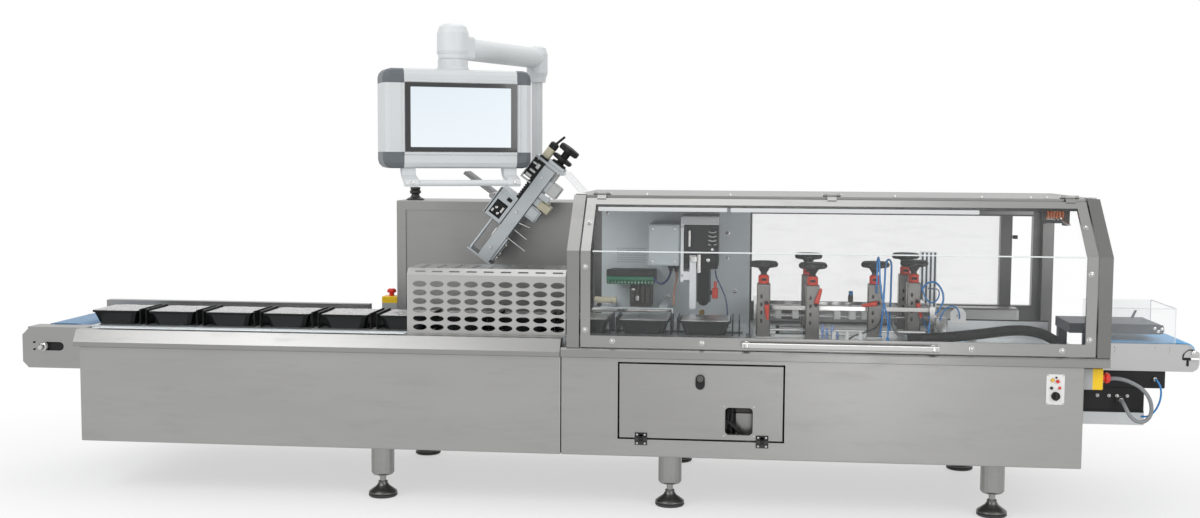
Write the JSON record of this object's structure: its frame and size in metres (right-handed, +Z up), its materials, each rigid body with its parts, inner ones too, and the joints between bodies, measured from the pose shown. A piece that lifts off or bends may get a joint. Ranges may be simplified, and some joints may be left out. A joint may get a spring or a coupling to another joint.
{
  "type": "carton sleeving machine",
  "caption": "Carton sleeving machine in stainless steel: flight chain with trays, tilted carton magazine, glazed lift-up guard, short outfeed and a swing-arm operator panel.",
  "frame": {"origin": "On the floor under the middle of the machine's bounding box.", "axes": "+X along the machine towards the outfeed, +Y to the back, +Z up."},
  "size_m": [4.467, 1.056, 1.838],
  "materials": {
    "stainless": "Brushed stainless sheet, vertical and lengthwise grain",
    "aluminium": "Clear anodised aluminium",
    "pale_grey": "Pale grey powder coat, fine texture",
    "grey_paint": "Grey-blue semi-matt paint",
    "black_plastic": "Black matt plastic",
    "screen": "Flush glass front over a lit screen",
    "belt": "Blue food-grade belt",
    "clear_sheet": "Clear polycarbonate sheet",
    "yellow_plastic": "Yellow stop station with a red head",
    "hose": "Black ribbed flexible hose",
    "tray": "Black food trays on a black chain"
  },
  "bodies": {
    "root": {"cabinet_left": "stainless", "cabinet_right": "stainless", "leg_front_1": "stainless", "leg_front_2": "stainless", "leg_front_3": "stainless", "leg_back_1": "stainless", "leg_back_2": "stainless", "leg_back_3": "stainless", "infeed_end_frame": "stainless", "infeed_front_rail": "stainless", "infeed_back_rail": "stainless", "chain_bed": "stainless", "perforated_guard": "stainless", "back_cabinet": "stainless", "magazine_bars": "stainless", "guard_base_rail": "stainless", "guard_left_frame": "stainless", "guard_right_frame": "stainless", "guard_roof": "stainless", "guard_back_frame": "stainless", "machine_table": "stainless", "guide_rods": "stainless", "height_adjuster_1": "stainless", "height_adjuster_2": "stainless", "height_adjuster_3": "stainless", "height_adjuster_4": "stainless", "height_adjuster_5": "stainless", "height_adjuster_6": "stainless", "outfeed_frame": "stainless", "magazine_side_plate": "aluminium", "magazine_carriage": "aluminium", "magazine_beam": "aluminium", "arm_column": "pale_grey", "glue_unit": "pale_grey", "rear_wall": "grey_paint", "feed_unit": "grey_paint", "control_rack": "black_plastic", "magazine_knob": "black_plastic", "magazine_rack": "black_plastic", "feed_drive": "black_plastic", "press_unit": "black_plastic", "drive_housing": "black_plastic", "gas_strut": "black_plastic", "infeed_belt": "belt", "outfeed_belt": "belt", "guard_back_pane": "clear_sheet", "outfeed_tunnel": "clear_sheet", "magazine_cover": "clear_sheet", "stop_station_back": "yellow_plastic", "stop_station_right": "yellow_plastic", "air_duct": "hose", "flight_chain": "tray"},
    "access_door": {"access_door": "stainless"},
    "guard_door": {"guard_door_frame": "stainless", "guard_door_pane": "clear_sheet", "guard_door_handle": "stainless"},
    "support_arm": {"support_arm": "pale_grey"},
    "operator_panel": {"panel_housing": "pale_grey", "panel_screen": "screen", "panel_grip": "pale_grey"}
  },
  "joints": [
    {"name": "guard_lift", "type": "hinge", "parent": "root", "child": "guard_door", "pos_m": [0.9145, -0.269, 1.1845], "axis": [-1, 0, 0], "range_deg": [0, 75]},
    {"name": "access_drop", "type": "hinge", "parent": "root", "child": "access_door", "pos_m": [0.436, -0.48, 0.278], "axis": [1, 0, 0], "range_deg": [0, 110]},
    {"name": "arm_swivel", "type": "hinge", "parent": "root", "child": "support_arm", "pos_m": [-0.3165, 0.428, 1.748], "axis": [0, 0, 1], "range_deg": [-40, 5]},
    {"name": "panel_swivel", "type": "hinge", "parent": "support_arm", "child": "operator_panel", "pos_m": [-0.5585, -0.172, 1.7], "axis": [0, 0, 1], "range_deg": [-20, 20]}
  ]
}
